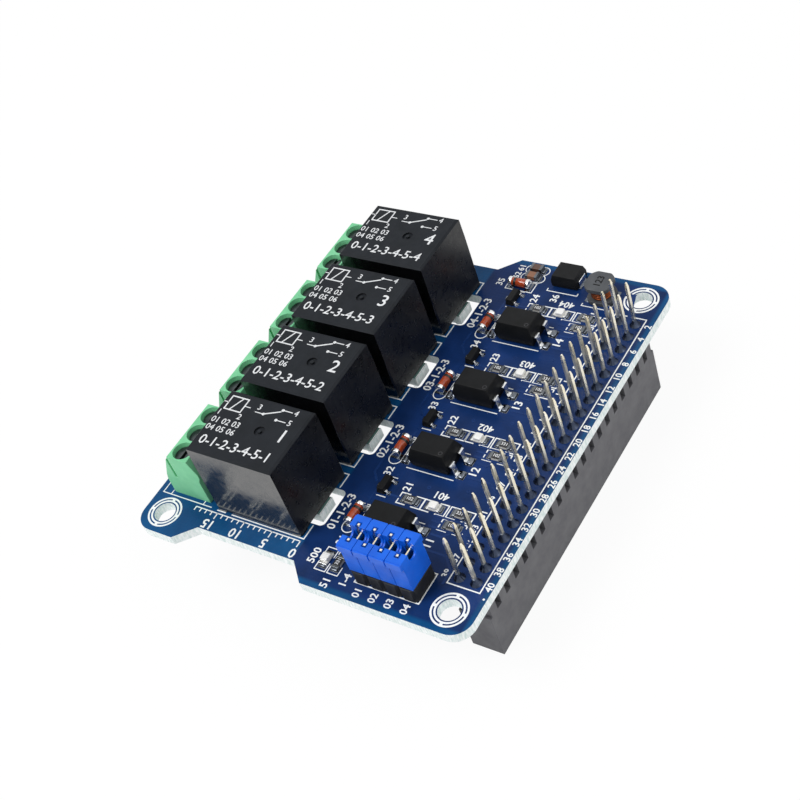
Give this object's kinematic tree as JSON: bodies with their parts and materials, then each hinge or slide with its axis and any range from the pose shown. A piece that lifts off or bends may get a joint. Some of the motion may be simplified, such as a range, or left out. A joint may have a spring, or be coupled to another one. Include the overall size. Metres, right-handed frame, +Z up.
{
  "type": "relay module board",
  "caption": "Blue circuit board with a row of sealed relays, green screw terminal blocks, optocouplers, jumper caps and a tall stacking pin header.",
  "frame": {"origin": "centre of the four mounting holes, on the underside of the circuit board", "axes": "+X along the board's long side, +Y towards the pin header, -Y towards the wire terminals, +Z up from the component side"},
  "size_m": [0.065, 0.0565, 0.0276],
  "materials": {
    "laminate": "glass-fibre laminate under blue solder mask",
    "socket_plastic": "moulded, dark grey",
    "gilt_pins": "pale gold plating",
    "black_plastic": "moulded, black",
    "cap_plastic": "moulded, blue",
    "clip_metal": "pale gold plating",
    "terminal_plastic": "moulded, pale green",
    "tinned_metal": "tinned",
    "screw_steel": "nickel plated",
    "clamp_steel": "zinc plated",
    "relay_plastic": "moulded, black, fine spark texture on top",
    "chip_plastic": "moulded epoxy, black",
    "diode_glass": "orange glass",
    "lamp_resin": "clear resin on a white carrier",
    "resistor_body": "dark coat on ceramic, tinned ends",
    "capacitor_body": "tan ceramic, tinned ends",
    "ferrite": "ferrite",
    "copper_wire": "enamelled copper"
  },
  "bodies": {
    "board": {"circuit_board": "laminate", "gpio_socket": "socket_plastic", "gpio_pins": "gilt_pins", "jumper_base": "black_plastic", "jumper_pins": "gilt_pins", "terminal_housing_1": "terminal_plastic", "terminal_housing_2": "terminal_plastic", "terminal_housing_3": "terminal_plastic", "terminal_housing_4": "terminal_plastic", "terminal_contacts": "tinned_metal", "relay_case_1": "relay_plastic", "relay_case_2": "relay_plastic", "relay_case_3": "relay_plastic", "relay_case_4": "relay_plastic", "relay_bases": "relay_plastic", "relay_pins": "tinned_metal", "optocouplers": "chip_plastic", "optocoupler_leads": "tinned_metal", "transistors": "chip_plastic", "transistor_leads": "tinned_metal", "diode_bodies": "diode_glass", "diode_terminals": "tinned_metal", "leds": "lamp_resin", "resistors": "resistor_body", "capacitors": "capacitor_body", "rectifier": "chip_plastic", "inductor_core": "ferrite", "inductor_winding": "copper_wire"},
    "jumper_cap_1": {"jumper_cap_1": "cap_plastic", "jumper_clip_1": "clip_metal"},
    "jumper_cap_2": {"jumper_cap_2": "cap_plastic", "jumper_clip_2": "clip_metal"},
    "jumper_cap_3": {"jumper_cap_3": "cap_plastic", "jumper_clip_3": "clip_metal"},
    "jumper_cap_4": {"jumper_cap_4": "cap_plastic", "jumper_clip_4": "clip_metal"},
    "terminal_screw_1a": {"terminal_screw_1a": "screw_steel"},
    "terminal_clamp_1a": {"terminal_clamp_1a": "clamp_steel"},
    "terminal_screw_1b": {"terminal_screw_1b": "screw_steel"},
    "terminal_clamp_1b": {"terminal_clamp_1b": "clamp_steel"},
    "terminal_screw_1c": {"terminal_screw_1c": "screw_steel"},
    "terminal_clamp_1c": {"terminal_clamp_1c": "clamp_steel"},
    "terminal_screw_2a": {"terminal_screw_2a": "screw_steel"},
    "terminal_clamp_2a": {"terminal_clamp_2a": "clamp_steel"},
    "terminal_screw_2b": {"terminal_screw_2b": "screw_steel"},
    "terminal_clamp_2b": {"terminal_clamp_2b": "clamp_steel"},
    "terminal_screw_2c": {"terminal_screw_2c": "screw_steel"},
    "terminal_clamp_2c": {"terminal_clamp_2c": "clamp_steel"},
    "terminal_screw_3a": {"terminal_screw_3a": "screw_steel"},
    "terminal_clamp_3a": {"terminal_clamp_3a": "clamp_steel"},
    "terminal_screw_3b": {"terminal_screw_3b": "screw_steel"},
    "terminal_clamp_3b": {"terminal_clamp_3b": "clamp_steel"},
    "terminal_screw_3c": {"terminal_screw_3c": "screw_steel"},
    "terminal_clamp_3c": {"terminal_clamp_3c": "clamp_steel"},
    "terminal_screw_4a": {"terminal_screw_4a": "screw_steel"},
    "terminal_clamp_4a": {"terminal_clamp_4a": "clamp_steel"},
    "terminal_screw_4b": {"terminal_screw_4b": "screw_steel"},
    "terminal_clamp_4b": {"terminal_clamp_4b": "clamp_steel"},
    "terminal_screw_4c": {"terminal_screw_4c": "screw_steel"},
    "terminal_clamp_4c": {"terminal_clamp_4c": "clamp_steel"}
  },
  "joints": [
    {"name": "jumper_cap_1_lift", "type": "slide", "parent": "board", "child": "jumper_cap_1", "axis": [0, 0, 1], "range_m": [0, 0.006]},
    {"name": "jumper_cap_2_lift", "type": "slide", "parent": "board", "child": "jumper_cap_2", "axis": [0, 0, 1], "range_m": [0, 0.006]},
    {"name": "jumper_cap_3_lift", "type": "slide", "parent": "board", "child": "jumper_cap_3", "axis": [0, 0, 1], "range_m": [0, 0.006]},
    {"name": "jumper_cap_4_lift", "type": "slide", "parent": "board", "child": "jumper_cap_4", "axis": [0, 0, 1], "range_m": [0, 0.006]},
    {"name": "terminal_screw_1a_turn", "type": "hinge", "parent": "board", "child": "terminal_screw_1a", "pos_m": [0.0235, -0.0209, 0.00845], "axis": [0, 0, -1], "range_deg": [0, 1350]},
    {"name": "terminal_clamp_1a_rise", "type": "slide", "parent": "board", "child": "terminal_clamp_1a", "axis": [0, 0, 1], "range_m": [0, 0.00151]},
    {"name": "terminal_screw_1b_turn", "type": "hinge", "parent": "board", "child": "terminal_screw_1b", "pos_m": [0.02, -0.0209, 0.00845], "axis": [0, 0, -1], "range_deg": [0, 1350]},
    {"name": "terminal_clamp_1b_rise", "type": "slide", "parent": "board", "child": "terminal_clamp_1b", "axis": [0, 0, 1], "range_m": [0, 0.00151]},
    {"name": "terminal_screw_1c_turn", "type": "hinge", "parent": "board", "child": "terminal_screw_1c", "pos_m": [0.0165, -0.0209, 0.00845], "axis": [0, 0, -1], "range_deg": [0, 1350]},
    {"name": "terminal_clamp_1c_rise", "type": "slide", "parent": "board", "child": "terminal_clamp_1c", "axis": [0, 0, 1], "range_m": [0, 0.00151]},
    {"name": "terminal_screw_2a_turn", "type": "hinge", "parent": "board", "child": "terminal_screw_2a", "pos_m": [0.0101, -0.0209, 0.00845], "axis": [0, 0, -1], "range_deg": [0, 1350]},
    {"name": "terminal_clamp_2a_rise", "type": "slide", "parent": "board", "child": "terminal_clamp_2a", "axis": [0, 0, 1], "range_m": [0, 0.00151]},
    {"name": "terminal_screw_2b_turn", "type": "hinge", "parent": "board", "child": "terminal_screw_2b", "pos_m": [0.0066, -0.0209, 0.00845], "axis": [0, 0, -1], "range_deg": [0, 1350]},
    {"name": "terminal_clamp_2b_rise", "type": "slide", "parent": "board", "child": "terminal_clamp_2b", "axis": [0, 0, 1], "range_m": [0, 0.00151]},
    {"name": "terminal_screw_2c_turn", "type": "hinge", "parent": "board", "child": "terminal_screw_2c", "pos_m": [0.0031, -0.0209, 0.00845], "axis": [0, 0, -1], "range_deg": [0, 1350]},
    {"name": "terminal_clamp_2c_rise", "type": "slide", "parent": "board", "child": "terminal_clamp_2c", "axis": [0, 0, 1], "range_m": [0, 0.00151]},
    {"name": "terminal_screw_3a_turn", "type": "hinge", "parent": "board", "child": "terminal_screw_3a", "pos_m": [-0.0033, -0.0209, 0.00845], "axis": [0, 0, -1], "range_deg": [0, 1350]},
    {"name": "terminal_clamp_3a_rise", "type": "slide", "parent": "board", "child": "terminal_clamp_3a", "axis": [0, 0, 1], "range_m": [0, 0.00151]},
    {"name": "terminal_screw_3b_turn", "type": "hinge", "parent": "board", "child": "terminal_screw_3b", "pos_m": [-0.0068, -0.0209, 0.00845], "axis": [0, 0, -1], "range_deg": [0, 1350]},
    {"name": "terminal_clamp_3b_rise", "type": "slide", "parent": "board", "child": "terminal_clamp_3b", "axis": [0, 0, 1], "range_m": [0, 0.00151]},
    {"name": "terminal_screw_3c_turn", "type": "hinge", "parent": "board", "child": "terminal_screw_3c", "pos_m": [-0.0103, -0.0209, 0.00845], "axis": [0, 0, -1], "range_deg": [0, 1350]},
    {"name": "terminal_clamp_3c_rise", "type": "slide", "parent": "board", "child": "terminal_clamp_3c", "axis": [0, 0, 1], "range_m": [0, 0.00151]},
    {"name": "terminal_screw_4a_turn", "type": "hinge", "parent": "board", "child": "terminal_screw_4a", "pos_m": [-0.0167, -0.0209, 0.00845], "axis": [0, 0, -1], "range_deg": [0, 1350]},
    {"name": "terminal_clamp_4a_rise", "type": "slide", "parent": "board", "child": "terminal_clamp_4a", "axis": [0, 0, 1], "range_m": [0, 0.00151]},
    {"name": "terminal_screw_4b_turn", "type": "hinge", "parent": "board", "child": "terminal_screw_4b", "pos_m": [-0.0202, -0.0209, 0.00845], "axis": [0, 0, -1], "range_deg": [0, 1350]},
    {"name": "terminal_clamp_4b_rise", "type": "slide", "parent": "board", "child": "terminal_clamp_4b", "axis": [0, 0, 1], "range_m": [0, 0.00151]},
    {"name": "terminal_screw_4c_turn", "type": "hinge", "parent": "board", "child": "terminal_screw_4c", "pos_m": [-0.0237, -0.0209, 0.00845], "axis": [0, 0, -1], "range_deg": [0, 1350]},
    {"name": "terminal_clamp_4c_rise", "type": "slide", "parent": "board", "child": "terminal_clamp_4c", "axis": [0, 0, 1], "range_m": [0, 0.00151]}
  ],
  "couplings": [
    {"joint": "terminal_clamp_1a_rise", "follows": "terminal_screw_1a_turn", "m_per_rad": 0.000063662},
    {"joint": "terminal_clamp_1b_rise", "follows": "terminal_screw_1b_turn", "m_per_rad": 0.000063662},
    {"joint": "terminal_clamp_1c_rise", "follows": "terminal_screw_1c_turn", "m_per_rad": 0.000063662},
    {"joint": "terminal_clamp_2a_rise", "follows": "terminal_screw_2a_turn", "m_per_rad": 0.000063662},
    {"joint": "terminal_clamp_2b_rise", "follows": "terminal_screw_2b_turn", "m_per_rad": 0.000063662},
    {"joint": "terminal_clamp_2c_rise", "follows": "terminal_screw_2c_turn", "m_per_rad": 0.000063662},
    {"joint": "terminal_clamp_3a_rise", "follows": "terminal_screw_3a_turn", "m_per_rad": 0.000063662},
    {"joint": "terminal_clamp_3b_rise", "follows": "terminal_screw_3b_turn", "m_per_rad": 0.000063662},
    {"joint": "terminal_clamp_3c_rise", "follows": "terminal_screw_3c_turn", "m_per_rad": 0.000063662},
    {"joint": "terminal_clamp_4a_rise", "follows": "terminal_screw_4a_turn", "m_per_rad": 0.000063662},
    {"joint": "terminal_clamp_4b_rise", "follows": "terminal_screw_4b_turn", "m_per_rad": 0.000063662},
    {"joint": "terminal_clamp_4c_rise", "follows": "terminal_screw_4c_turn", "m_per_rad": 0.000063662}
  ]
}
